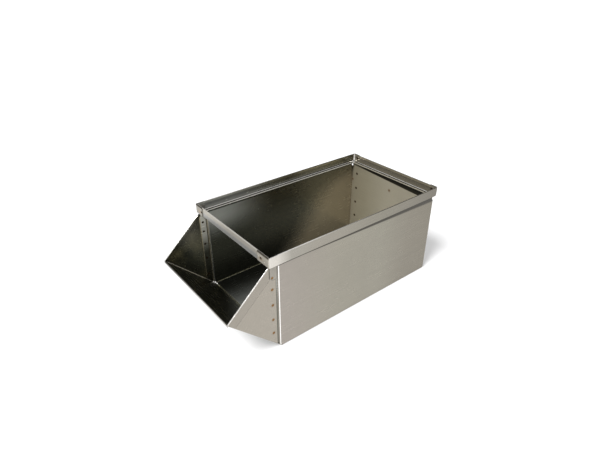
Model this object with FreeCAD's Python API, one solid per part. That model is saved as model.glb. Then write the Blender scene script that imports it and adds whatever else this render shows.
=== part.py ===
import FreeCAD, Part
import math
import os

# Hopper-front stacking bin folded from thin sheet steel and joined by spot welds.
# Millimetres, +Z up. The open hopper faces -Y and the width runs along X.
# The origin is the centre of the overall footprint, on the ground.

# --- overall body -----------------------------------------------------------
SHEET = 1.0
BODY_WIDTH = 241.0
WALL_LENGTH = 402.0
HEIGHT = 200.0
BEND_RADIUS = 1.5
FLANGE_WIDTH = 15.0
FLOOR_CLEARANCE = 1.2
CORNER_NOTCH = 6.0
RELIEF_HOLE = 4.4
RELIEF_INSET = 1.2

# --- stacking rim -----------------------------------------------------------
RIM_FLANGE_HEIGHT = 19.1
RIM_SIDE_OVERHANG = 2.9
RIM_REAR_OVERHANG = 4.1
LEDGE_WIDTH = 9.6
RIM_HEM_HEIGHT = 5.0
RIM_CORNER_SPLIT = 5.4
RIM_TAB_RISE = 0.6
REAR_TAB_LENGTH = 18.0
FRONT_TAB_LENGTHS = {"left": 26.0, "right": 34.0}
TAB_INSET = 1.5
LEDGE_FRONT = -2.0
MITRE_GAP = 0.4
CORNER_CHAMFER_RUN = 7.5
CORNER_CHAMFER_DROP = 9.5

# --- front crossbar ---------------------------------------------------------
CROSSBAR_HEIGHT = 18.0
CROSSBAR_SETBACK = 19.6
CROSSBAR_THICKNESS = 2.0
LUG_WIDTH = 15.4
LUG_BOTTOM = 152.5
LUG_CORNER = 4.0

# --- side wall front seam ---------------------------------------------------
CHEEK_INSET = 1.7
SEAM_STRIP_WIDTH = 18.6
SEAM_STRIP_TOP = 174.0
SEAM_STRIP_CHAMFER = 4.5
SEAM_CLEARANCE = 1.4
WALL_FRONT_BOTTOM = 5.0
WALL_FRONT_TOP = 178.5
JOGGLE_RADIUS = 1.3

# --- hopper front -----------------------------------------------------------
LIP_REACH = 101.6
LIP_HEIGHT = 102.4
LIP_FOOT = 2.9
LIP_RETURN = 4.0
CHEEK_REAR = -4.2
CHEEK_TOP = 178.5
CHEEK_TOP_REACH = 20.2
CHEEK_HEM = 6.0
FOLD_INNER_RADIUS = 0.6
FOLD_OUTER_RADIUS = 0.9
CREASE_OFFSET = 19.0
CREASE_WIDTH = 1.0
CREASE_DEPTH = 0.3
LAP_FLANGE = 18.0

# --- spot welds -------------------------------------------------------------
WELD_DIAMETER = 5.0
WELD_DISH = 0.1
FRONT_WELD_Y = -12.6
FRONT_WELD_HEIGHTS = {
    "left": (34.0, 74.0, 108.0, 137.0, 158.0),
    "right": (38.0, 68.0, 100.0, 133.0, 157.5),
}
REAR_WELD_X = 103.6
REAR_WELD_HEIGHTS = (41.0, 79.0, 117.0, 155.0)
REAR_FLANGE_WIDTH = 25.0
RIM_REAR_WELD_X = 110.2
RIM_REAR_WELD_Z = 191.6
RIM_FRONT_WELD_X = 100.5
RIM_FRONT_WELD_Z = 190.0
FLOOR_SIDE_WELDS = 6
FLOOR_END_WELDS = 4
LEDGE_SIDE_WELDS = 6
LEDGE_REAR_WELDS = 4

# --- derived planes ---------------------------------------------------------
HALF = BODY_WIDTH / 2
WALL_TOP = HEIGHT - RIM_FLANGE_HEIGHT
RIM_X = HALF + RIM_SIDE_OVERHANG
RIM_Y = WALL_LENGTH + RIM_REAR_OVERHANG
NOSE_X = RIM_X - LEDGE_WIDTH
NOSE_Y = RIM_Y - LEDGE_WIDTH
REAR_OUT = WALL_LENGTH - SHEET
CHEEK_OUT = HALF - CHEEK_INSET
CHEEK_IN = CHEEK_OUT - SHEET
STRIP_IN = CHEEK_IN - SHEET
BAR_FRONT = -CROSSBAR_SETBACK
LIP_SLOPE = LIP_HEIGHT / (LIP_REACH + LIP_FOOT)
Y_FRONT = -LIP_REACH
Y_REAR = RIM_Y + SHEET
Y_SHIFT = -(Y_FRONT + Y_REAR) / 2
EPS = 0.01


def vec(x, y, z):
    return FreeCAD.Vector(x, y, z)


def block(x0, x1, y0, y1, z0, z1):
    return Part.makeBox(x1 - x0, y1 - y0, z1 - z0, vec(x0, y0, z0))


def in_plane(plane, u, v, w):
    """Place a profile point: u, v lie in the plane and w is along its normal."""
    if plane == "XZ":
        return vec(u, w, v)
    if plane == "XY":
        return vec(u, v, w)
    return vec(w, u, v)


def along(plane, length):
    return in_plane(plane, 0, 0, length)


def polygon(plane, points, start, end):
    """Extrude a closed polygon from start to end along the plane's normal."""
    corners = [in_plane(plane, u, v, start) for u, v in points]
    wire = Part.makePolygon(corners + corners[:1])
    return Part.Face(wire).extrude(along(plane, end - start))


def bend_points(before, corner, after, radius, side):
    """Start, middle and end of a bend on one face of the sheet."""
    d1 = (corner[0] - before[0], corner[1] - before[1])
    d2 = (after[0] - corner[0], after[1] - corner[1])
    l1 = math.hypot(*d1)
    l2 = math.hypot(*d2)
    d1 = (d1[0] / l1, d1[1] / l1)
    d2 = (d2[0] / l2, d2[1] / l2)
    cross = d1[0] * d2[1] - d1[1] * d2[0]
    dot = d1[0] * d2[0] + d1[1] * d2[1]
    turn = 1 if cross > 0 else -1
    tangent = radius * math.tan(abs(math.atan2(cross, dot)) / 2)
    first = (corner[0] - d1[0] * tangent, corner[1] - d1[1] * tangent)
    last = (corner[0] + d2[0] * tangent, corner[1] + d2[1] * tangent)
    centre = (first[0] - d1[1] * radius * turn, first[1] + d1[0] * radius * turn)
    reach = math.hypot(corner[0] - centre[0], corner[1] - centre[1])
    scale = (radius - side * turn) / reach
    a = (first[0] - d1[1] * side, first[1] + d1[0] * side)
    m = (centre[0] + (corner[0] - centre[0]) * scale, centre[1] + (corner[1] - centre[1]) * scale)
    b = (last[0] - d2[1] * side, last[1] + d2[0] * side)
    return a, m, b


def end_offset(tip, inner, side, flip):
    """Corner of the sheet at a free end of its centreline."""
    d = (inner[0] - tip[0], inner[1] - tip[1])
    length = math.hypot(*d)
    return (tip[0] - d[1] / length * side * flip, tip[1] + d[0] / length * side * flip)


def folded(plane, path, start, end, radius=BEND_RADIUS, thickness=SHEET):
    """Sheet of constant thickness that follows a centreline with rounded bends."""
    outline = []
    for side in (thickness / 2, -thickness / 2):
        run = [("line", end_offset(path[0], path[1], side, 1))]
        for before, corner, after in zip(path, path[1:], path[2:]):
            a, m, b = bend_points(before, corner, after, radius, side)
            run.append(("line", a))
            run.append(("arc", m, b))
        run.append(("line", end_offset(path[-1], path[-2], side, -1)))
        outline.append(run)
    edges = []
    ends = []
    for run in outline:
        here = run[0][1]
        for step in run[1:]:
            p = in_plane(plane, here[0], here[1], start)
            if step[0] == "line":
                q = in_plane(plane, step[1][0], step[1][1], start)
                if p.distanceToPoint(q) > EPS:
                    edges.append(Part.LineSegment(p, q).toShape())
                here = step[1]
            else:
                m = in_plane(plane, step[1][0], step[1][1], start)
                q = in_plane(plane, step[2][0], step[2][1], start)
                edges.append(Part.Arc(p, m, q).toShape())
                here = step[2]
        ends.append((run[0][1], here))
    for k in (0, 1):
        p = in_plane(plane, ends[0][k][0], ends[0][k][1], start)
        q = in_plane(plane, ends[1][k][0], ends[1][k][1], start)
        edges.append(Part.LineSegment(p, q).toShape())
    wire = Part.Wire(Part.__sortEdges__(edges))
    return Part.Face(wire).extrude(along(plane, end - start))


def joined(shapes):
    """One clean solid from overlapping or touching runs of the same sheet."""
    body = shapes[0]
    for other in shapes[1:]:
        body = body.fuse(other)
    return body.removeSplitter()


def cut_all(body, tools):
    for tool in tools:
        body = body.cut(tool)
    return body


def mirrored(shape):
    return shape.mirror(vec(0, 0, 0), vec(1, 0, 0))


def for_side(shape, side):
    return shape if side == "right" else mirrored(shape)


def round_edges(body, radius, wanted):
    """Round the straight edges that the test picks out."""
    edges = [e for e in body.Edges if wanted(e)]
    return body.makeFillet(radius, edges) if edges else body


def spans(count, start, end):
    """Evenly spaced positions, half a step clear of both ends."""
    step = (end - start) / count
    return [start + step * (k + 0.5) for k in range(count)]


def disc(x, y, z, axis, start, end, shrink=0.0):
    """Round weld nugget along an axis, or its matching hole."""
    radius = WELD_DIAMETER / 2
    low = start + shrink
    length = end - start - 2 * shrink
    if axis == "X":
        return Part.makeCylinder(radius, length, vec(low, y, z), vec(1, 0, 0))
    if axis == "Y":
        return Part.makeCylinder(radius, length, vec(x, low, z), vec(0, 1, 0))
    return Part.makeCylinder(radius, length, vec(x, y, low), vec(0, 0, 1))


# --- spot weld positions: centre, axis and the stack each nugget joins ------
def front_seam(side):
    sign = 1 if side == "right" else -1
    spots = []
    for height in FRONT_WELD_HEIGHTS[side]:
        outer = CHEEK_OUT + SHEET if height > LUG_BOTTOM else CHEEK_OUT
        low, high = sorted((sign * STRIP_IN, sign * outer))
        spots.append((0, FRONT_WELD_Y, height, "X", low, high))
    return spots


def rear_seam(side):
    sign = 1 if side == "right" else -1
    return [(sign * REAR_WELD_X, 0, z, "Y", REAR_OUT - SHEET, WALL_LENGTH) for z in REAR_WELD_HEIGHTS]


def floor_seam(side):
    x = HALF - FLANGE_WIDTH / 2
    x = x if side == "right" else -x
    places = spans(FLOOR_SIDE_WELDS, FLANGE_WIDTH, WALL_LENGTH - FLANGE_WIDTH)
    return [(x, y, 0, "Z", 0, 2 * SHEET) for y in places]


def floor_end_seam(end):
    y = LAP_FLANGE * 0.6 + LIP_FOOT if end == "front" else REAR_OUT - LAP_FLANGE * 0.6
    reach = HALF - FLANGE_WIDTH * 1.5
    return [(x, y, 0, "Z", 0, 2 * SHEET) for x in spans(FLOOR_END_WELDS, -reach, reach)]


def ledge_seam(side):
    low = WALL_TOP - SHEET / 2
    high = WALL_TOP + SHEET / 2
    if side == "rear":
        reach = NOSE_X - LEDGE_WIDTH
        y = REAR_OUT - 2 * SHEET
        return [(x, y, 0, "Z", low, high) for x in spans(LEDGE_REAR_WELDS, -reach, reach)]
    x = HALF - 2 * SHEET - WELD_DISH
    x = x if side == "right" else -x
    places = spans(LEDGE_SIDE_WELDS, LEDGE_WIDTH, WALL_LENGTH - 2 * CORNER_CHAMFER_RUN)
    return [(x, y, 0, "Z", low, high) for y in places]


def corner_reliefs():
    """Round relief holes where the lip, the cheeks and the floor meet."""
    x = CHEEK_IN - RELIEF_INSET
    radius = RELIEF_HOLE / 2
    return [Part.makeCylinder(radius, 4 * SHEET, vec(side, LIP_FOOT, -SHEET)) for side in (-x, x)]


def rim_rear_seam(side):
    x = RIM_REAR_WELD_X if side == "right" else -RIM_REAR_WELD_X
    return [(x, 0, RIM_REAR_WELD_Z, "Y", RIM_Y - SHEET, RIM_Y + SHEET)]


def rim_front_seam(side):
    x = RIM_FRONT_WELD_X if side == "right" else -RIM_FRONT_WELD_X
    back = BAR_FRONT + CROSSBAR_THICKNESS
    return [(x, 0, RIM_FRONT_WELD_Z, "Y", BAR_FRONT - SHEET, back)]


def holes(spots):
    return [disc(*spot) for spot in spots]


def nuggets(spots):
    """Weld nuggets, dished slightly below both faces of their stack."""
    return Part.makeCompound([disc(*spot, shrink=WELD_DISH) for spot in spots])


def lip_plane(y, lift):
    """Height of the lip's outer face at a depth y, raised square to the sheet."""
    return (LIP_FOOT - y) * LIP_SLOPE + lift * math.hypot(1, LIP_SLOPE)


def side_wall(side):
    """Flat wall with turned-in bottom, top and rear flanges and a joggled front strip."""
    mid = SHEET / 2
    panel = HALF - mid
    run_start = 2 * BEND_RADIUS
    run_end = WALL_LENGTH - 2 * BEND_RADIUS
    section = [
        (HALF - FLANGE_WIDTH, mid),
        (panel, mid),
        (panel, WALL_TOP - mid),
        (NOSE_X, WALL_TOP - mid),
    ]
    main = folded("XZ", section, run_start, run_end)
    corner = [
        (run_end, WALL_TOP - CORNER_CHAMFER_DROP),
        (WALL_LENGTH - CORNER_CHAMFER_RUN, WALL_TOP + SHEET),
        (WALL_LENGTH + SHEET, WALL_TOP + SHEET),
        (WALL_LENGTH + SHEET, WALL_TOP - CORNER_CHAMFER_DROP),
    ]
    main = main.cut(polygon("YZ", corner, NOSE_X - SHEET, HALF + SHEET))
    rear = folded(
        "XY",
        [
            (panel, run_end - CORNER_NOTCH),
            (panel, WALL_LENGTH - mid),
            (HALF - REAR_FLANGE_WIDTH, WALL_LENGTH - mid),
        ],
        2 * BEND_RADIUS,
        WALL_TOP - CORNER_CHAMFER_DROP,
    )
    strip = CHEEK_IN - mid
    joggle = folded(
        "XY",
        [
            (panel, CORNER_NOTCH + run_start),
            (panel, mid),
            (strip, -2 * JOGGLE_RADIUS),
            (strip, -SEAM_STRIP_WIDTH),
        ],
        WALL_FRONT_BOTTOM,
        WALL_FRONT_TOP,
        JOGGLE_RADIUS,
    )
    reach = 2 * SEAM_STRIP_WIDTH
    top_cut = [
        (-reach, SEAM_STRIP_TOP - SEAM_STRIP_CHAMFER - reach),
        (-SEAM_STRIP_WIDTH, SEAM_STRIP_TOP - SEAM_STRIP_CHAMFER),
        (-SEAM_STRIP_WIDTH + SEAM_STRIP_CHAMFER, SEAM_STRIP_TOP),
        (-SEAM_STRIP_CHAMFER, SEAM_STRIP_TOP),
        (-2 * JOGGLE_RADIUS, WALL_FRONT_TOP + SHEET),
        (-reach, WALL_FRONT_TOP + SHEET),
    ]
    low_cut = [
        (-reach, lip_plane(-reach, SHEET + SEAM_CLEARANCE)),
        (LIP_FOOT, lip_plane(LIP_FOOT, SHEET + SEAM_CLEARANCE)),
        (LIP_FOOT, -SHEET),
        (-reach, -SHEET),
    ]
    joggle = joggle.cut(polygon("YZ", top_cut, STRIP_IN - SHEET, HALF + SHEET))
    joggle = joggle.cut(polygon("YZ", low_cut, STRIP_IN - SHEET, HALF - CHEEK_INSET))
    body = for_side(joined([main, rear, joggle]), side)
    spots = front_seam(side) + rear_seam(side) + floor_seam(side) + ledge_seam(side)
    return cut_all(body, holes(spots) + corner_reliefs())


def rear_wall():
    """Rear panel set between the side walls, with a foot flange and a top flange."""
    mid = SHEET / 2
    panel = REAR_OUT - mid
    width = HALF - SHEET - FLOOR_CLEARANCE
    section = [(NOSE_Y, WALL_TOP - mid), (panel, WALL_TOP - mid), (panel, mid), (REAR_OUT - LAP_FLANGE, mid)]
    body = folded("YZ", section, -width, width)
    foot = HALF - FLANGE_WIDTH - mid
    top = NOSE_X - MITRE_GAP
    clear = REAR_OUT - SHEET - EPS
    for sign in (-1, 1):
        x0, x1 = sorted((sign * foot, sign * HALF))
        body = body.cut(block(x0, x1, clear - LAP_FLANGE, clear, -SHEET, 2 * SHEET))
        body = body.cut(block(x0, x1, clear, WALL_LENGTH, -SHEET, 2 * BEND_RADIUS))
        x0, x1 = sorted((sign * top, sign * HALF))
        body = body.cut(block(x0, x1, clear - LAP_FLANGE, WALL_LENGTH, WALL_TOP - 2 * SHEET, WALL_TOP + SHEET))
    spots = rear_seam("left") + rear_seam("right") + floor_end_seam("rear") + ledge_seam("rear")
    return cut_all(body, holes(spots))


def floor_plate():
    """Flat floor resting on the turned-in flanges, with a relief hole at each mouth corner."""
    width = HALF - SHEET - FLOOR_CLEARANCE
    front = LIP_FOOT + SHEET
    back = REAR_OUT - SHEET - FLOOR_CLEARANCE
    body = block(-width, width, front, back, SHEET, 2 * SHEET)
    spots = floor_seam("left") + floor_seam("right") + floor_end_seam("front") + floor_end_seam("rear")
    return cut_all(body, holes(spots) + corner_reliefs())


def hopper_front():
    """Sloping lip with a lap flange, folded-up triangular cheeks and hemmed edges."""
    mid = SHEET / 2
    lift = mid * math.hypot(1, LIP_SLOPE)
    foot = LIP_FOOT + (mid - lift) / LIP_SLOPE
    top = (-LIP_REACH + mid, lip_plane(-LIP_REACH + mid, mid))
    path = [(LIP_FOOT + LAP_FLANGE, mid), (foot, mid), top, (top[0], top[1] - LIP_RETURN)]
    lip = folded("YZ", path, -CHEEK_OUT, CHEEK_OUT, SHEET)
    flange_edge = HALF - FLANGE_WIDTH - mid
    parts = [lip]
    hems = []
    for sign in (-1, 1):
        outline = [
            (CHEEK_REAR, lip_plane(CHEEK_REAR, mid)),
            (CHEEK_REAR, CHEEK_TOP),
            (-CHEEK_TOP_REACH, CHEEK_TOP),
            (-LIP_REACH + mid, lip_plane(-LIP_REACH, SHEET)),
            (-LIP_REACH + mid, lip_plane(-LIP_REACH + mid, mid)),
        ]
        x0, x1 = sorted((sign * CHEEK_IN, sign * CHEEK_OUT))
        parts.append(polygon("YZ", outline, x0, x1))
        du = outline[3][0] - outline[2][0]
        dv = outline[3][1] - outline[2][1]
        length = math.hypot(du, dv)
        normal = (-dv / length * CHEEK_HEM, du / length * CHEEK_HEM)
        hem = [
            outline[2],
            outline[3],
            (outline[3][0] + normal[0], outline[3][1] + normal[1]),
            (outline[2][0] + normal[0], outline[2][1] + normal[1]),
        ]
        x0, x1 = sorted((sign * STRIP_IN, sign * CHEEK_IN))
        hems.append(polygon("YZ", hem, x0, x1))

    def fold_edge(edge, plane):
        line = edge.Curve
        if not isinstance(line, Part.Line) or edge.Length < LIP_REACH:
            return False
        d = line.Direction
        flat = abs(d.x) < EPS and abs(abs(edge.CenterOfMass.x) - plane) < EPS
        return flat and abs(d.z + d.y * LIP_SLOPE) < EPS

    body = joined(parts)
    body = round_edges(body, FOLD_INNER_RADIUS, lambda edge: fold_edge(edge, CHEEK_IN))
    body = round_edges(body, FOLD_OUTER_RADIUS, lambda edge: fold_edge(edge, CHEEK_OUT))
    body = joined([body] + hems)
    for sign in (-1, 1):
        x0, x1 = sorted((sign * flange_edge, sign * HALF))
        relief = LIP_FOOT - SHEET / 2
        body = body.cut(block(x0, x1, relief, 2 * LAP_FLANGE, -SHEET, 3 * SHEET))
        body = body.cut(crease(sign))

    def slope_edge(edge):
        line = edge.Curve
        if not isinstance(line, Part.Line) or edge.Length < LIP_REACH * 0.9:
            return False
        d = line.Direction
        high = edge.BoundBox.ZMax > CHEEK_TOP - SHEET
        side = abs(edge.CenterOfMass.x)
        return abs(d.x) < EPS and high and (side > CHEEK_OUT - EPS or side < STRIP_IN + EPS)

    body = round_edges(body, SHEET * 0.9, slope_edge)
    spots = front_seam("left") + front_seam("right") + floor_end_seam("front")
    return cut_all(body, holes(spots) + corner_reliefs())


def crease(sign):
    """Shallow crease across a cheek, parallel to its sloping edge."""
    top = (-CHEEK_TOP_REACH, CHEEK_TOP)
    bottom = (-LIP_REACH, lip_plane(-LIP_REACH, SHEET))
    du = bottom[0] - top[0]
    dv = bottom[1] - top[1]
    length = math.hypot(du, dv)
    n = (-dv / length, du / length)
    start = (top[0] - du + n[0] * CREASE_OFFSET, top[1] - dv + n[1] * CREASE_OFFSET)
    stop = (bottom[0] + du + n[0] * CREASE_OFFSET, bottom[1] + dv + n[1] * CREASE_OFFSET)
    outline = [
        start,
        stop,
        (stop[0] + n[0] * CREASE_WIDTH, stop[1] + n[1] * CREASE_WIDTH),
        (start[0] + n[0] * CREASE_WIDTH, start[1] + n[1] * CREASE_WIDTH),
    ]
    x0, x1 = sorted((sign * (CHEEK_OUT - CREASE_DEPTH), sign * (CHEEK_OUT + SHEET)))
    return polygon("YZ", outline, x0, x1)


def side_rail(side):
    """Rim rail: ledge on the wall's top flange, upright with a hem, and two end tabs."""
    mid = SHEET / 2
    upright = RIM_X - mid
    front = BAR_FRONT - SHEET
    back = RIM_Y + SHEET
    ledge = folded(
        "XZ",
        [(NOSE_X, WALL_TOP + mid), (upright, WALL_TOP + mid), (upright, HEIGHT - SHEET)],
        LEDGE_FRONT,
        RIM_Y - SHEET,
    )
    mitre = [
        (NOSE_X - SHEET, NOSE_Y - SHEET - MITRE_GAP),
        (RIM_X - SHEET, RIM_Y - SHEET - MITRE_GAP),
        (RIM_X - SHEET, RIM_Y + SHEET),
        (NOSE_X - SHEET, RIM_Y + SHEET),
    ]
    ledge = ledge.cut(polygon("XY", mitre, WALL_TOP - SHEET, WALL_TOP + 2 * BEND_RADIUS))
    tab = RIM_X - FRONT_TAB_LENGTHS[side]
    plan = [
        (tab, front + mid),
        (upright, front + mid),
        (upright, back - mid),
        (RIM_X - REAR_TAB_LENGTH, back - mid),
    ]
    band = folded("XY", plan, WALL_TOP, HEIGHT, 2 * SHEET)
    trims = [
        block(0, RIM_X - 2 * SHEET, front - SHEET, BAR_FRONT + mid, HEIGHT - TAB_INSET, HEIGHT + SHEET),
        block(0, RIM_X - 2 * SHEET, front - SHEET, BAR_FRONT + mid, WALL_TOP - SHEET, WALL_TOP + SHEET),
    ]
    band = cut_all(band, trims)
    rise = block(RIM_X - REAR_TAB_LENGTH, RIM_X - 2 * SHEET, RIM_Y, back, HEIGHT - SHEET, HEIGHT + RIM_TAB_RISE)
    hem = block(
        RIM_X - 2 * SHEET,
        RIM_X - SHEET + EPS,
        LEDGE_FRONT,
        RIM_Y - SHEET - RIM_CORNER_SPLIT / 2,
        HEIGHT - RIM_HEM_HEIGHT,
        HEIGHT,
    )
    body = joined([band, ledge, hem])

    def top_edge(edge):
        if not isinstance(edge.Curve, Part.Line) or edge.Length < WALL_LENGTH / 2:
            return False
        high = edge.BoundBox.ZMin > HEIGHT - EPS
        return high and abs(edge.Curve.Direction.y) > 1 - EPS

    body = round_edges(body, SHEET * 0.45, top_edge)
    body = body.fuse(rise).removeSplitter()
    body = for_side(body, side)
    return cut_all(body, holes(ledge_seam(side) + rim_rear_seam(side) + rim_front_seam(side)))


def rear_rail():
    """Rear rim rail between the side rails, mitred to them at the ledge."""
    mid = SHEET / 2
    upright = RIM_Y - mid
    section = [(NOSE_Y, WALL_TOP + mid), (upright, WALL_TOP + mid), (upright, HEIGHT)]
    body = folded("YZ", section, -RIM_X, RIM_X)
    hem = block(-RIM_X, RIM_X, RIM_Y - 2 * SHEET, RIM_Y - SHEET + EPS, HEIGHT - RIM_HEM_HEIGHT, HEIGHT)
    body = joined([body, hem])
    end = RIM_X - SHEET - RIM_CORNER_SPLIT
    for sign in (-1, 1):
        x0, x1 = sorted((sign * end, sign * (RIM_X + SHEET)))
        low = WALL_TOP + 2 * BEND_RADIUS
        body = body.cut(block(x0, x1, NOSE_Y - SHEET, RIM_Y + SHEET, low, HEIGHT + SHEET))
        x0, x1 = sorted((sign * (RIM_X - 4 * SHEET), sign * (RIM_X + SHEET)))
        body = body.cut(block(x0, x1, RIM_Y - 4 * SHEET, RIM_Y + SHEET, WALL_TOP - SHEET, low))
        mitre = [
            (sign * (NOSE_X - SHEET), NOSE_Y - SHEET),
            (sign * (RIM_X - SHEET - MITRE_GAP), RIM_Y - SHEET - MITRE_GAP),
            (sign * (RIM_X - SHEET - MITRE_GAP), RIM_Y + SHEET),
            (sign * (RIM_X + SHEET), RIM_Y + SHEET),
            (sign * (RIM_X + SHEET), NOSE_Y - SHEET),
        ]
        body = body.cut(polygon("XY", mitre, WALL_TOP - SHEET, HEIGHT))

    def top_edge(edge):
        if not isinstance(edge.Curve, Part.Line) or edge.Length < HALF:
            return False
        return edge.BoundBox.ZMin > HEIGHT - EPS

    body = round_edges(body, SHEET * 0.45, top_edge)
    spots = ledge_seam("rear") + rim_rear_seam("left") + rim_rear_seam("right")
    return cut_all(body, holes(spots))


def crossbar():
    """Front tie bar with a lug at each end that hangs down outside the cheek."""
    back = BAR_FRONT + CROSSBAR_THICKNESS
    outer = CHEEK_OUT + SHEET
    low = HEIGHT - CROSSBAR_HEIGHT
    bar = block(-outer, outer, BAR_FRONT, back, low, HEIGHT)
    bar = round_edges(bar, SHEET * 0.6, lambda e: e.Length > HALF and e.BoundBox.ZMin > HEIGHT - EPS)
    parts = [bar]
    lug = [
        (back - EPS, LUG_BOTTOM + LUG_CORNER),
        (back + LUG_CORNER, LUG_BOTTOM),
        (back + LUG_WIDTH - LUG_CORNER / 2, LUG_BOTTOM),
        (back + LUG_WIDTH - SHEET, LUG_BOTTOM + LUG_CORNER),
        (back + LUG_WIDTH - SHEET, HEIGHT - RIM_HEM_HEIGHT - SHEET),
        (back - EPS, HEIGHT - RIM_HEM_HEIGHT - SHEET),
    ]
    for sign in (-1, 1):
        x0, x1 = sorted((sign * CHEEK_OUT, sign * outer))
        parts.append(polygon("YZ", lug, x0, x1))
    body = joined(parts)
    spots = front_seam("left") + front_seam("right") + rim_front_seam("left") + rim_front_seam("right")
    return cut_all(body, holes(spots))


NODES = {
    "side_wall_left": side_wall("left"),
    "side_wall_right": side_wall("right"),
    "rear_wall": rear_wall(),
    "floor_plate": floor_plate(),
    "hopper_front": hopper_front(),
    "rim_rail_left": side_rail("left"),
    "rim_rail_right": side_rail("right"),
    "rim_rail_rear": rear_rail(),
    "front_crossbar": crossbar(),
    "welds_front_left": nuggets(front_seam("left")),
    "welds_front_right": nuggets(front_seam("right")),
    "welds_rear_left": nuggets(rear_seam("left")),
    "welds_rear_right": nuggets(rear_seam("right")),
    "welds_floor_left": nuggets(floor_seam("left")),
    "welds_floor_right": nuggets(floor_seam("right")),
    "welds_floor_front": nuggets(floor_end_seam("front")),
    "welds_floor_rear": nuggets(floor_end_seam("rear")),
    "welds_ledge_left": nuggets(ledge_seam("left")),
    "welds_ledge_right": nuggets(ledge_seam("right")),
    "welds_ledge_rear": nuggets(ledge_seam("rear")),
    "welds_rim_rear_left": nuggets(rim_rear_seam("left")),
    "welds_rim_rear_right": nuggets(rim_rear_seam("right")),
    "welds_rim_front_left": nuggets(rim_front_seam("left")),
    "welds_rim_front_right": nuggets(rim_front_seam("right")),
}

os.makedirs("parts", exist_ok=True)
for name, shape in NODES.items():
    placed = shape.copy()
    placed.translate(vec(0, Y_SHIFT, 0))
    placed.exportStep("parts/" + name + ".step")
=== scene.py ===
import math

import bpy
from mathutils import Matrix, Vector

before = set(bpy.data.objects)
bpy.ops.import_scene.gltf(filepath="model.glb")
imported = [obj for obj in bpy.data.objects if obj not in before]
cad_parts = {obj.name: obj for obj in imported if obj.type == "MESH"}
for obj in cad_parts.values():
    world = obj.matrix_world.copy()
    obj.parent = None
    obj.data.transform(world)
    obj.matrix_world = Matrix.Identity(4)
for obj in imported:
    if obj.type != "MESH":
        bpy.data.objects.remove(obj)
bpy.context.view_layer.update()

MM = 0.001
PER_METRE = 1000.0
SHIFT = -0.15275  # front edge of the side walls, along Y in the row frame

# --- planes of the part, in millimetres ---------------------------------------
# side: distance from the middle; depth: back from the walls' front edge;
# height: above the ground.
STRIP_INNER = 116.8
CHEEK_INNER = 117.8
CHEEK_FACE = 118.8
WALL_INNER = 119.5
WALL_FACE = 120.5
RIM_INNER = 122.4
RIM_FACE = 123.4
WALL_LENGTH = 402.0
REAR_INNER = 400.0
LEDGE_TOP = 181.9
HEM_FOOT = 195.0
RIM_TOP = 200.0
BAR_FACE = -19.6
BAR_FOOT = 182.0
LUG_FOOT = 152.5
LIP_SLOPE = 0.9799
LIP_AT_FRONT = 2.8417  # height of the lip's plane at depth 0
CHEEK_EDGE_NORMAL = (0.6785, -0.7348)
CHEEK_EDGE_OFFSET = 144.87

# --- spot weld positions, in millimetres --------------------------------------
SEAM_DEPTH = -12.6
SEAM_HEIGHTS = {CHEEK_FACE: (38, 68, 100, 133), -CHEEK_FACE: (34, 74, 108, 137)}
REAR_WELD_SIDE = 103.6
REAR_WELD_HEIGHTS = (41, 79, 117, 155)
RIM_WELD = (110.2, 405.0, 191.6)
HALO = (0.0022, 0.0044)

# --- colours --------------------------------------------------------------------
# painted highlight colour, laid on bends, edges and corners where light catches
PAINTED_HIGHLIGHT = (0.95, 0.93, 0.90)
# painted shade colour for the crevice under the rim
UNDER_RIM_SHADE = (0.07, 0.065, 0.055)
SCORCH = (0.05, 0.032, 0.012)
RUST = (0.12, 0.05, 0.012)
# painted highlight colour for the bright lines along the floor's edges
FLOOR_EDGE_HIGHLIGHT = (0.60, 0.59, 0.50)


def place(side, depth, height):
    """Point in the row frame, in metres, from the part's own millimetres."""
    return (side * MM, depth * MM + SHIFT, height * MM)


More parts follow.
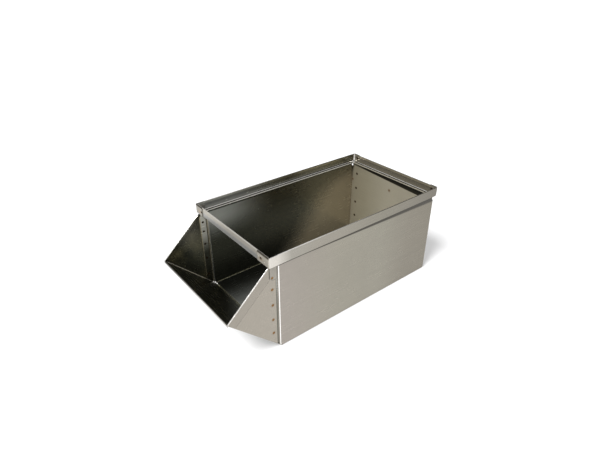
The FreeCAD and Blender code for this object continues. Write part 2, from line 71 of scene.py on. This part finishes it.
# --- node helpers -----------------------------------------------------------
class Graph:
    """Short names for building one material's nodes."""

    def __init__(self, name):
        self.mat = bpy.data.materials.new(name)
        self.mat.use_nodes = True
        self.tree = self.mat.node_tree
        self.tree.nodes.clear()
        self.out = self.tree.nodes.new("ShaderNodeOutputMaterial")
        self.bsdf = self.tree.nodes.new("ShaderNodeBsdfPrincipled")
        self.link(self.bsdf.outputs[0], self.out.inputs[0])
        self.pos = self.tree.nodes.new("ShaderNodeTexCoord").outputs["Object"]
        parts = self.tree.nodes.new("ShaderNodeSeparateXYZ")
        self.link(self.pos, parts.inputs[0])
        self.x, self.y, self.z = parts.outputs
        self.across = self.mul(self.x, PER_METRE)
        self.side = self.mul(self.math("ABSOLUTE", self.x), PER_METRE)
        self.depth = self.math("MULTIPLY_ADD", self.y, PER_METRE, -SHIFT * PER_METRE)
        self.height = self.mul(self.z, PER_METRE)
        self.base = None

    def link(self, a, b):
        self.tree.links.new(a, b)

    def feed(self, value, socket):
        if hasattr(value, "is_output"):
            self.link(value, socket)
        else:
            socket.default_value = value

    def math(self, op, a, b=0.0, c=0.0):
        n = self.tree.nodes.new("ShaderNodeMath")
        n.operation = op
        for value, socket in zip((a, b, c), n.inputs):
            self.feed(value, socket)
        return n.outputs[0]

    def mul(self, *values):
        out = values[0]
        for v in values[1:]:
            out = self.math("MULTIPLY", out, v)
        return out

    def most(self, *values):
        """The largest of several masks."""
        out = values[0]
        for v in values[1:]:
            out = self.math("MAXIMUM", out, v)
        return out

    def invert(self, value):
        return self.math("SUBTRACT", 1.0, value)

    def range(self, value, a, b, c, d, smooth=False):
        """Value mapped from a..b to c..d, and held at the ends."""
        n = self.tree.nodes.new("ShaderNodeMapRange")
        if smooth:
            n.interpolation_type = "SMOOTHSTEP"
        for v, s in zip((value, a, b, c, d), n.inputs):
            self.feed(v, s)
        return n.outputs[0]

    def fade(self, value, off, on, smooth=False):
        """0 at one limit and 1 at the other."""
        return self.range(value, off, on, 0.0, 1.0, smooth)

    def band(self, value, low, high, soft=0.15):
        """1 between two limits, 0 outside them, with short ramps."""
        up = self.fade(value, self.math("SUBTRACT", low, soft), low)
        down = self.fade(value, self.math("ADD", high, soft), high)
        return self.mul(up, down)

    def mapped(self, scale):
        n = self.tree.nodes.new("ShaderNodeMapping")
        n.vector_type = "POINT"
        self.link(self.pos, n.inputs[0])
        n.inputs["Scale"].default_value = scale
        return n.outputs[0]

    def noise(self, scale, detail=3.0, rough=0.5, vector=None):
        n = self.tree.nodes.new("ShaderNodeTexNoise")
        self.link(vector or self.pos, n.inputs["Vector"])
        n.inputs["Scale"].default_value = scale
        n.inputs["Detail"].default_value = detail
        n.inputs["Roughness"].default_value = rough
        return n.outputs[0]

    def ramp(self, value, stops):
        n = self.tree.nodes.new("ShaderNodeValToRGB")
        self.link(value, n.inputs[0])
        e = n.color_ramp.elements
        while len(e) < len(stops):
            e.new(1.0)
        for item, (at, colour) in zip(e, stops):
            item.position = at
            item.color = (*colour, 1)
        return n.outputs[0]

    def mix(self, factor, a, b, mode="MIX"):
        n = self.tree.nodes.new("ShaderNodeMix")
        n.data_type = "RGBA"
        n.blend_type = mode
        self.feed(factor, n.inputs[0])
        for value, socket in ((a, n.inputs[6]), (b, n.inputs[7])):
            if hasattr(value, "is_output"):
                self.link(value, socket)
            else:
                socket.default_value = (*value, 1)
        return n.outputs[2]

    def lay(self, mask, colour):
        """Cover the base colour where the mask is 1."""
        self.base = self.mix(mask, self.base, colour)

    def near(self, point, inner, outer, scale=(1, 1, 1), wobble=None):
        """1 within the inner radius of a point, fading to 0 at the outer radius."""
        value = self.pos
        for op, operand in (("SUBTRACT", point), ("MULTIPLY", scale), ("LENGTH", None)):
            n = self.tree.nodes.new("ShaderNodeVectorMath")
            n.operation = op
            self.link(value, n.inputs[0])
            if operand is not None:
                n.inputs[1].default_value = operand
            value = n.outputs[0]
        distance = n.outputs["Value"]
        if wobble is not None:
            distance = self.math("ADD", distance, wobble)
        return self.range(distance, inner, outer, 1.0, 0.0, True)

    def bump(self, height, strength, distance):
        n = self.tree.nodes.new("ShaderNodeBump")
        n.inputs["Strength"].default_value = strength
        n.inputs["Distance"].default_value = distance
        self.link(height, n.inputs["Height"])
        return n.outputs[0]


# --- bare steel -----------------------------------------------------------------
GRAIN_ALONG = 5.0
GRAIN_ACROSS = 420.0
STREAK = 0.035
GRAIN_BUMP = (0.02, 0.00008)


def sheet(name, grain, rough=0.24, metal=1.0):
    """Start a bare sheet steel material, with rolling grain along one axis."""
    g = Graph(name)
    g.cloud = g.noise(7.0, 4.0, 0.55)
    g.fine = g.noise(55.0, 3.0, 0.6)
    scale = [GRAIN_ALONG if axis == grain else GRAIN_ACROSS for axis in "XYZ"]
    g.brush = g.noise(1.0, 3.0, 0.6, vector=g.mapped(scale))
    brushed = g.range(g.brush, 0.3, 0.7, rough - 0.03, rough + 0.03)
    g.rough = g.math("ADD", brushed, g.range(g.fine, 0.3, 0.7, -0.02, 0.03))
    g.metal = metal
    return g


def close(g):
    """Lay the mottling and grain over the base colour and finish the material."""
    cloudy = g.range(g.cloud, 0.3, 0.7, 0.97, 1.03)
    streak = g.range(g.brush, 0.3, 0.7, 1.0 - STREAK, 1.0 + STREAK)
    level = g.mul(cloudy, streak, g.range(g.fine, 0.3, 0.7, 0.985, 1.015))
    tone = g.tree.nodes.new("ShaderNodeCombineColor")
    for socket in tone.inputs[:3]:
        g.link(level, socket)
    base = g.mix(1.0, g.base, tone.outputs[0], "MULTIPLY")
    g.feed(base, g.bsdf.inputs["Base Color"])
    g.feed(g.rough, g.bsdf.inputs["Roughness"])
    g.feed(g.metal, g.bsdf.inputs["Metallic"])
    g.feed(g.bump(g.brush, *GRAIN_BUMP), g.bsdf.inputs["Normal"])
    return g.mat


def wall_steel():
    """Side walls: outside graded as painted light, inside painted darker as painted shade, with a
    dull painted sheen, a tan patch of painted light, and painted highlights and shade along edges.
    """
    g = sheet("wall_satin", "Y")
    along = g.fade(g.depth, 0.0, REAR_INNER)
    # outside painted lighter at the front and darker at the rear, as painted light
    outside = g.ramp(along, [
        (0.0, (0.33, 0.302, 0.269)),
        (0.35, (0.297, 0.281, 0.234)),
        (0.62, (0.28, 0.266, 0.22)),
        (0.82, (0.228, 0.21, 0.172)),
        (1.0, (0.205, 0.187, 0.15)),
    ])
    # inside painted darker at the front and lighter at the rear, as painted shade
    bare = g.ramp(along, [
        (0.0, (0.125, 0.125, 0.095)),
        (0.5, (0.165, 0.162, 0.128)),
        (1.0, (0.25, 0.24, 0.19)),
    ])
    # painted sheen: lighter, duller colour at the front and top of the inside, as painted light
    painted_sheen = g.mul(g.fade(g.height, 95.0, 175.0, True), g.fade(g.depth, 175.0, 20.0, True))
    inside = g.mix(painted_sheen, bare, (0.60, 0.615, 0.565))
    # painted pool of light: dull tan patch at the rear, reaching further forward near the floor
    slant = g.math("SUBTRACT", g.depth, g.mul(g.math("SUBTRACT", g.height, 90.0), 0.9))
    low = g.range(g.height, 178.0, 130.0, 0.3, 1.0, True)
    tan = g.mul(g.fade(slant, 218.0, 330.0, True), low)
    inside = g.mix(tan, inside, (0.37, 0.315, 0.215))
    # shade under the top flange
    shade = g.fade(g.height, 174.0, 177.0)
    inside = g.mix(shade, inside, (0.10, 0.10, 0.085))
    out = g.most(
        g.fade(g.side, WALL_INNER + 0.2, WALL_FACE - 0.3),
        g.fade(g.depth, WALL_LENGTH - 0.7, WALL_LENGTH - 0.4),
        g.fade(g.height, 0.5, 0.2),
    )
    g.base = g.mix(out, inside, outside)
    # stepped strip behind the cheek, painted lighter high up as painted light, with a painted
    # highlight on its leading edge and painted shade in a groove beside the cheek
    behind = g.band(g.side, 100.0, STRIP_INNER + 0.5)
    strip = g.mul(g.band(g.depth, -30.0, -3.2), behind)
    high = g.fade(g.height, 82.0, 138.0, True)
    g.lay(strip, g.mix(high, (0.10, 0.10, 0.075), (0.68, 0.67, 0.59)))
    g.lay(g.mul(g.band(g.depth, -6.0, -3.6), behind), (0.12, 0.10, 0.07))
    g.lay(g.mul(g.band(g.depth, -19.0, -17.1), behind), (0.60, 0.53, 0.38))
    dull = g.mul(g.most(g.mul(painted_sheen, 0.85), g.mul(tan, 0.55)), g.invert(shade))
    dull = g.most(dull, g.mul(strip, high, 0.55))
    g.metal = g.invert(g.mul(dull, g.invert(out)))
    # painted highlight on the bead at the front edge, and painted shade on the step's slope
    front = g.fade(g.side, CHEEK_INNER + 0.1, CHEEK_INNER + 0.5)
    g.lay(g.mul(g.band(g.depth, -0.2, 1.3), front), PAINTED_HIGHLIGHT)
    g.lay(g.mul(g.band(g.depth, -2.8, -0.7), front), (0.24, 0.22, 0.19))
    # painted highlight where the step turns into the wall, seen from inside
    rise = g.mul(g.math("MAXIMUM", g.math("ADD", g.depth, 2.9), 0.0), 0.93)
    skin = g.math("SUBTRACT", g.side, rise)
    step_highlight = g.mul(g.band(g.depth, -3.4, -0.9), g.band(skin, 100.0, STRIP_INNER + 0.5))
    g.lay(step_highlight, (0.78, 0.71, 0.55))
    # painted highlight along the floor
    foot = g.mul(g.band(g.height, 0.0, 2.7), g.band(g.side, 100.0, WALL_INNER + 0.3), g.invert(out))
    g.lay(foot, FLOOR_EDGE_HIGHLIGHT)
    # painted shade in the crevice under the rim, deeper and softer towards the rear
    drop = g.range(g.depth, 60.0, REAR_INNER, 177.4, 171.5)
    soft = g.range(g.depth, 60.0, REAR_INNER, 0.6, 5.0)
    under_rim_shade = g.mul(g.fade(g.height, g.math("SUBTRACT", drop, soft), drop, True), out)
    g.lay(under_rim_shade, UNDER_RIM_SHADE)
    return close(g)


def hopper_steel():
    """Lip and cheeks: pale outside, painted dark inside as painted shade with brown blotches,
    painted highlights on folds and edges.
    """
    g = sheet("hopper_satin", "X")
    # distance in from the sloping cheek edge, and height over the lip
    across_edge = g.math("MULTIPLY_ADD", g.height, CHEEK_EDGE_NORMAL[1], CHEEK_EDGE_OFFSET)
    edge = g.math("ADD", g.mul(g.depth, CHEEK_EDGE_NORMAL[0]), across_edge)
    lip = g.math("SUBTRACT", g.height, g.math("MULTIPLY_ADD", g.depth, -LIP_SLOPE, LIP_AT_FRONT))
    out = g.fade(g.side, CHEEK_FACE - 0.6, CHEEK_FACE - 0.3)
    cheek = g.fade(lip, 2.0, 8.0)
    # brown blotches, and one at the foot of the cheek
    patch = g.fade(g.noise(22.0, 3.0), 0.42, 0.68)
    patch = g.mul(patch, g.math("MULTIPLY_ADD", cheek, 0.8, 0.2))
    low = g.mul(g.range(g.depth, -60.0, -85.0, 0.0, 0.8), g.fade(lip, 30.0, 6.0), cheek)
    patch = g.most(patch, low)
    # inside painted dark as painted shade; the brown blotches are stains
    inside = g.mix(patch, (0.13, 0.131, 0.10), (0.33, 0.30, 0.175))
    # painted sheen: lighter, duller colour high on the cheek, as painted light
    painted_sheen = g.mul(g.fade(lip, 45.0, 118.0), cheek, g.range(g.depth, -12.0, -60.0, 0.1, 1.0))
    inside = g.mix(painted_sheen, inside, (0.50, 0.47, 0.39))
    dull = g.math("MULTIPLY_ADD", painted_sheen, 0.38, g.mul(patch, 0.10))
    g.metal = g.invert(g.mul(dull, g.invert(out)))
    g.base = g.mix(out, inside, (0.345, 0.318, 0.272))
    g.lay(g.mul(g.band(edge, -2.0, 19.0), out), (0.318, 0.293, 0.252))
    # painted highlight along the sloping cheek edge
    g.lay(g.band(edge, -2.0, 1.0), (0.82, 0.80, 0.76))
    # painted highlights on the fold between lip and cheek and on the bend at the lip's foot
    g.lay(g.mul(g.band(g.side, 116.9, 118.0), g.band(lip, -1.0, 2.6)), PAINTED_HIGHLIGHT)
    g.lay(g.mul(g.band(g.depth, 0.4, 2.4), g.band(g.side, 0.0, 118.0)), (0.70, 0.69, 0.58))
    for side, heights in SEAM_HEIGHTS.items():
        for height in heights:
            halo = g.near(place(side, SEAM_DEPTH, height), HALO[0], 0.0052)
            g.lay(g.mul(halo, 0.45, out), (0.26, 0.20, 0.14))
    # crease painted lighter to soften its shade, painted shade along the dark rear edge, and the
    # lip's front edge painted dark at the far end and light at the near end, as painted light and
    # shade
    g.lay(g.mul(g.band(edge, 18.7, 20.3), out), (0.42, 0.39, 0.34))
    g.lay(g.mul(g.band(g.depth, -5.0, -4.0), out), (0.10, 0.10, 0.09))
    nose = g.mix(g.fade(g.x, -0.118, 0.03), (0.13, 0.127, 0.11), (0.66, 0.64, 0.61))
    g.lay(g.band(g.depth, -103.0, -100.4), nose)
    return close(g)


def floor_steel():
    """Floor: painted darker towards the far side as painted shade, with painted highlights along
    edges that stop short of the reliefs.
    """
    g = sheet("floor_satin", "Y")
    # floor painted darker towards the far side, as painted shade
    left_to_middle = g.fade(g.x, -0.11, 0.0, True)
    g.base = g.mix(left_to_middle, (0.09, 0.095, 0.09), (0.37, 0.385, 0.37))
    # painted highlight along the floor's edges
    line = g.most(g.fade(g.side, 117.7, 117.9), g.fade(g.depth, 4.6, 4.3))
    clear = g.fade(g.side, 112.0, 108.0)
    line = g.mul(line, g.range(g.depth, 7.0, 9.0, clear, 1.0))
    g.lay(line, FLOOR_EDGE_HIGHLIGHT)
    g.metal = g.range(g.x, -0.10, 0.03, 1.0, 0.70, True)
    return close(g)


def rear_steel():
    """Rear wall: tan inside, painted darker towards the far corner, with a painted shadow under the
    ledge and rust spots.
    """
    g = sheet("rear_satin", "X", 0.36, 0.45)
    across = g.fade(g.x, -0.119, 0.119)
    # tan inside, painted darker towards the far corner as painted shade
    tan = g.ramp(across, [
        (0.0, (0.28, 0.25, 0.18)),
        (0.2, (0.32, 0.29, 0.21)),
        (0.5, (0.42, 0.384, 0.297)),
        (1.0, (0.43, 0.39, 0.30)),
    ])
    inside = g.fade(g.depth, REAR_INNER + 0.7, REAR_INNER + 0.3)
    g.base = g.mix(inside, (0.285, 0.268, 0.228), tan)
    # painted shadow under the ledge, taller towards the near side and fading out towards the far
    # corner
    low = g.range(across, 0.05, 1.0, 175.5, 166.0)
    ledge_shadow = g.fade(g.height, g.math("SUBTRACT", low, 1.2), low)
    ledge_shadow = g.mul(ledge_shadow, g.range(across, 0.04, 0.22, 0.35, 1.0), inside)
    g.lay(ledge_shadow, (0.02, 0.018, 0.012))
    for side, height, size in ((1.5, 149.0, 5.4), (-117.0, 137.0, 5.0)):
        ragged = g.range(g.noise(300.0), 0.0, 1.0, -0.001, 0.001)
        spot = g.near(place(side, 400.25, height), 0.0, size * MM, (1, 0.2, 1), ragged)
        g.lay(g.mul(spot, inside), RUST)
    for side in (-REAR_WELD_SIDE, REAR_WELD_SIDE):
        for height in REAR_WELD_HEIGHTS:
            halo = g.near(place(side, REAR_INNER, height), *HALO, (1, 0.2, 1))
            g.lay(g.mul(halo, inside, 0.8), SCORCH)
    return close(g)


def rim_steel():
    """Rim rails: outside graded as painted light, dull inside with painted light and shade, painted
    highlights along ledge and corner.
    """
    g = sheet("rim_satin", "Y")
    along = g.fade(g.depth, -22.0, 408.0)
    # outside painted lighter at the front, with a painted highlight at the front corner, darkening
    # towards the rear
    outer = g.ramp(along, [
        (0.0, (0.66, 0.63, 0.58)),
        (0.045, (0.60, 0.57, 0.52)),
        (0.11, (0.34, 0.325, 0.285)),
        (0.25, (0.312, 0.292, 0.25)),
        (0.6, (0.25, 0.235, 0.195)),
        (1.0, (0.18, 0.166, 0.14)),
    ])
    # inner faces graded along the rail as painted light and shade
    tone = g.ramp(along, [
        (0.0, (0.34, 0.345, 0.33)),
        (0.5, (0.26, 0.265, 0.235)),
        (0.9, (0.30, 0.29, 0.23)),
    ])
    rear = g.mul(g.fade(g.depth, 402.9, 403.3), g.fade(g.height, 182.9, 183.2))
    tone = g.mix(rear, tone, (0.165, 0.148, 0.112))
    # hem painted lighter than the face below, as painted light
    hem = g.mix(1.0, tone, (1.6, 1.57, 1.5), "MULTIPLY")
    inner = g.mix(g.fade(g.height, HEM_FOOT - 0.4, HEM_FOOT + 0.2), tone, hem)
    out = g.most(
        g.fade(g.side, RIM_FACE - 0.4, RIM_FACE - 0.1),
        g.fade(g.depth, BAR_FACE + 0.4, BAR_FACE + 0.2),
    )
    g.base = g.mix(out, inner, outer)
    # painted shade on the ledge with a painted highlight on its nose, and a painted highlight at
    # the foot of the upright
    ledge = g.band(g.height, 180.0, LEDGE_TOP + 0.4)
    g.lay(g.mul(ledge, g.fade(g.side, RIM_INNER + 0.5, RIM_INNER + 0.2)), (0.06, 0.052, 0.04))
    within = g.fade(g.side, 116.8, 116.4)
    nose = g.mul(within, ledge, g.band(g.depth, -5.0, 396.0))
    rear_nose = g.mul(g.band(g.depth, 395.2, 399.6), ledge, within)
    g.lay(nose, (0.80, 0.78, 0.72))
    g.lay(rear_nose, (0.44, 0.41, 0.34))
    foot = g.band(g.height, 181.0, 183.2)
    root = g.mul(g.band(g.side, 120.9, 122.3), foot, g.fade(g.depth, 401.5, 401.0))
    rear_root = g.mul(g.band(g.depth, 403.6, 405.0), foot)
    # rear corners: a lighter strip, a dark seam, weld marks and a ragged painted highlight
    face_in = g.mul(rear, g.fade(g.depth, 406.6, 406.3), g.invert(out))
    g.lay(g.mul(g.fade(g.side, 111.8, 112.2), face_in), (0.24, 0.222, 0.175))
    g.lay(g.mul(g.band(g.side, 110.9, 111.8), face_in, 0.6), (0.10, 0.09, 0.07))
    ragged = g.range(g.noise(260.0, 2.0), 0.35, 0.65, 118.6, 120.6)
    corner = g.mul(g.fade(g.side, ragged, g.math("ADD", ragged, 0.3)), face_in)
    corner = g.mul(corner, g.fade(g.side, RIM_INNER + 0.1, RIM_INNER - 0.1))
    for side in (-RIM_WELD[0], RIM_WELD[0]):
        halo = g.near(place(side, *RIM_WELD[1:]), *HALO, (1, 0.2, 1))
        g.lay(g.mul(halo, face_in, 0.8), SCORCH)
    g.lay(g.most(root, rear_root), PAINTED_HIGHLIGHT)
    g.lay(corner, PAINTED_HIGHLIGHT)
    # painted highlight along the top edge at the front, fading to painted shade at the rear
    top = g.mix(g.fade(g.depth, 60.0, 260.0), (0.75, 0.73, 0.69), (0.14, 0.13, 0.105))
    g.lay(g.fade(g.height, RIM_TOP - 0.6, RIM_TOP - 0.3), top)
    # front tabs: left face painted darker as painted shade, a painted shadow outline and a brown
    # smear
    face = g.fade(g.depth, BAR_FACE - 0.1, BAR_FACE - 0.3)
    faces = g.mix(g.fade(g.across, -50.0, 50.0), (0.24, 0.225, 0.19), (0.37, 0.345, 0.295))
    g.lay(face, faces)
    ends = g.most(
        g.band(g.across, 88.0, 90.5),
        g.band(g.across, -98.5, -96.0),
        g.fade(g.height, 197.2, 197.6),
    )
    g.lay(g.mul(ends, face), (0.10, 0.085, 0.06))
    blot = g.range(g.noise(160.0, 2.0), 0.0, 1.0, -0.003, 0.003)
    for side in (101.0, -108.0):
        smear = g.near(place(side, BAR_FACE - 1.0, 189.5), 0.002, 0.008, (0.8, 0.3, 1.5), blot)
        g.lay(g.mul(smear, 0.6, face), (0.30, 0.22, 0.13))
    # dull zones take the light evenly
    front = g.range(g.depth, 60.0, 200.0, 0.5, 0.0)
    dull = g.mul(g.most(front, g.mul(rear, 0.5)), g.invert(g.most(out, ledge)))
    dull = g.most(dull, g.mul(nose, 0.3), g.mul(rear_nose, 0.5), g.mul(face, 0.45))
    g.metal = g.invert(dull)
    return close(g)


def bar_steel():
    """Crossbar: face painted in two tones as painted reflection, paler lugs with a painted shadow
    outline.
    """
    g = sheet("bar_satin", "X", 0.22, 0.55)
    # lower face painted blue-grey and upper face tan as painted reflection; the top edge painted
    # lighter as painted highlight
    g.base = g.mix(g.fade(g.height, 189.0, 192.5), (0.258, 0.256, 0.243), (0.335, 0.315, 0.27))
    g.lay(g.fade(g.height, RIM_TOP - 0.8, RIM_TOP - 0.4), (0.46, 0.44, 0.40))
    lug = g.fade(g.height, BAR_FOOT, BAR_FOOT - 1.0)
    g.lay(lug, (0.32, 0.298, 0.258))
    # painted shadow along the lugs' outline
    outline = g.most(
        g.fade(g.height, LUG_FOOT + 1.0, LUG_FOOT + 0.6),
        g.fade(g.depth, -16.6, -16.9),
    )
    g.lay(g.mul(outline, lug, 0.7), (0.12, 0.11, 0.09))
    # painted shadow line over the rail tabs
    tab = g.most(g.fade(g.across, 89.2, 89.5), g.fade(g.across, -97.2, -97.5))
    front = g.fade(g.depth, BAR_FACE + 1.2, BAR_FACE + 1.0)
    g.lay(g.mul(tab, g.fade(g.height, 198.2, 198.5), front), (0.05, 0.045, 0.035))
    return close(g)


def weld_steel():
    """Weld marks: burnt inside the bin, straw-coloured outside the cheeks."""
    g = sheet("weld_tint", "Z", 0.7, 0.1)
    g.bsdf.inputs["Specular IOR Level"].default_value = 0.1
    burnt = g.mix(g.noise(400.0), (0.006, 0.003, 0.001), (0.03, 0.015, 0.006))
    straw = g.mix(g.noise(350.0), (0.12, 0.055, 0.018), (0.34, 0.19, 0.075))
    g.base = g.mix(g.band(g.side, CHEEK_FACE - 0.6, WALL_FACE + 0.5), burnt, straw)
    return close(g)


# The first prefix that a node's name starts with gives its material.
floor_metal = floor_steel()
FINISHES = (
    ("side_wall", wall_steel()),
    ("rear_wall", rear_steel()),
    ("floor_plate", floor_metal),
    ("hopper_front", hopper_steel()),
    ("rim_rail", rim_steel()),
    ("front_crossbar", bar_steel()),
    ("welds_floor", floor_metal),
    ("welds", weld_steel()),
)

for node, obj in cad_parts.items():
    finish = next(material for prefix, material in FINISHES if node.startswith(prefix))
    obj.data.materials.clear()
    obj.data.materials.append(finish)


# --- stage ------------------------------------------------------------------
GROUND_SIZE = 80.0
GROUND_DROP = 0.0005
GROUND_GLOW = 0.36
KEY_STRENGTH = 4.5
KEY_DIRECTION = (0.12, -0.57, 0.81)
KEY_ANGLE = 18
SKY_HORIZON = 0.97
SKY_ZENITH = 0.42
SKY_FADE_HEIGHT = 0.42


def link_object(name, data):
    obj = bpy.data.objects.new(name, data)
    bpy.context.scene.collection.objects.link(obj)
    return obj


def make_ground():
    """Pale floor just below the bin."""
    h = GROUND_SIZE / 2
    mesh = bpy.data.meshes.new("ground")
    mesh.from_pydata([(-h, -h, 0), (h, -h, 0), (h, h, 0), (-h, h, 0)], [], [(0, 1, 2, 3)])
    ground = link_object("ground", mesh)
    ground.location = (0, 0, -GROUND_DROP)
    g = Graph("pale_ground")
    pale = g.mix(g.noise(3.0), (0.54, 0.54, 0.545), (0.56, 0.56, 0.565))
    g.feed(pale, g.bsdf.inputs["Base Color"])
    g.bsdf.inputs["Emission Color"].default_value = (1, 1, 1, 1)
    g.bsdf.inputs["Emission Strength"].default_value = GROUND_GLOW
    g.bsdf.inputs["Roughness"].default_value = 0.9
    g.bsdf.inputs["Specular IOR Level"].default_value = 0.1
    mesh.materials.append(g.mat)
    return ground


def make_key():
    """Soft key light from the front."""
    data = bpy.data.lights.new("key", "SUN")
    data.energy = KEY_STRENGTH
    data.angle = math.radians(KEY_ANGLE)
    key = link_object("key", data)
    key.rotation_euler = (-Vector(KEY_DIRECTION)).to_track_quat("-Z", "Y").to_euler()


def make_world():
    """White surroundings, bright at the horizon and dimmer overhead."""
    world = bpy.data.worlds.new("studio")
    bpy.context.scene.world = world
    world.use_nodes = True
    sky = world.node_tree
    direction = sky.nodes.new("ShaderNodeTexCoord")
    parts = sky.nodes.new("ShaderNodeSeparateXYZ")
    fade = sky.nodes.new("ShaderNodeMapRange")
    fade.interpolation_type = "SMOOTHSTEP"
    limits = (0.0, SKY_FADE_HEIGHT, SKY_HORIZON, SKY_ZENITH)
    for socket, value in zip(fade.inputs[1:5], limits):
        socket.default_value = value
    background = sky.nodes["Background"]
    sky.links.new(direction.outputs["Generated"], parts.inputs[0])
    sky.links.new(parts.outputs[2], fade.inputs[0])
    sky.links.new(fade.outputs[0], background.inputs[1])
    background.inputs[0].default_value = (1, 1, 1, 1)


ground = make_ground()
make_key()
make_world()

# --- camera -----------------------------------------------------------------
CAMERA_PLACE = (0.63735, -0.36419 + SHIFT, 0.61515)
CAMERA_RIGHT = (0.62128, 0.78359, -0.00096)
CAMERA_UP = (-0.3888, 0.30933, 0.86784)
CAMERA_BACK = (0.68033, -0.5388, 0.49684)

camera = bpy.data.cameras.new("camera")
camera.sensor_width = 36.0
camera.lens = 28.15
camera.clip_start = 0.01
rig = link_object("camera", camera)
turn = Matrix((CAMERA_RIGHT, CAMERA_UP, CAMERA_BACK)).transposed().to_4x4()
rig.matrix_world = Matrix.Translation(CAMERA_PLACE) @ turn
bpy.context.scene.camera = rig
bpy.context.scene.view_settings.view_transform = "Standard"
